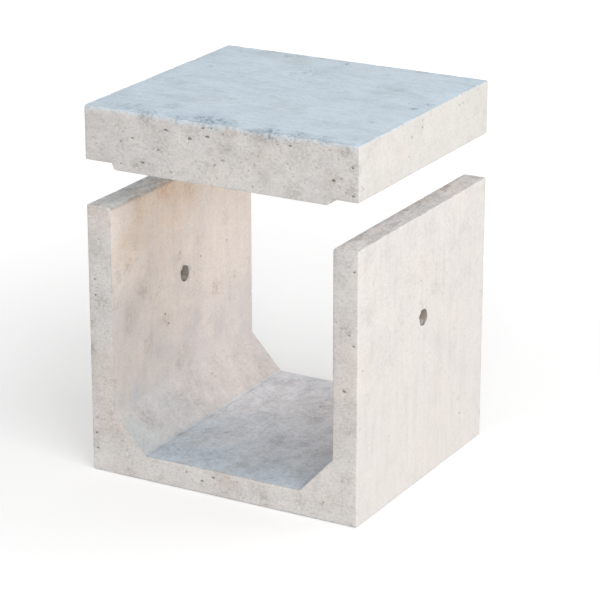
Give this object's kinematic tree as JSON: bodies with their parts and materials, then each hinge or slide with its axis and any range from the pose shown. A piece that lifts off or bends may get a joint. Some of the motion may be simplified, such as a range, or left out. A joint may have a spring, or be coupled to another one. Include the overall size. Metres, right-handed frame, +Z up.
{
  "type": "two-piece precast concrete box culvert",
  "caption": "U-shaped precast concrete channel unit with haunched lower corners and lifting holes, below a thick flat cover slab that is held clear of its walls.",
  "frame": {"origin": "on the ground, under the middle of the channel unit", "axes": "+X across the waterway, +Y along it from the front end to the back end, +Z up"},
  "size_m": [0.55, 0.5, 0.696],
  "materials": {
    "channel_concrete": "matte",
    "cover_concrete": "matte"
  },
  "bodies": {
    "channel": {"channel_unit": "channel_concrete"},
    "cover": {"cover_slab": "cover_concrete"}
  },
  "joints": [
    {"name": "cover_lift", "type": "slide", "parent": "channel", "child": "cover", "axis": [0, 0, 1], "range_m": [-0.077, 0.12]}
  ]
}
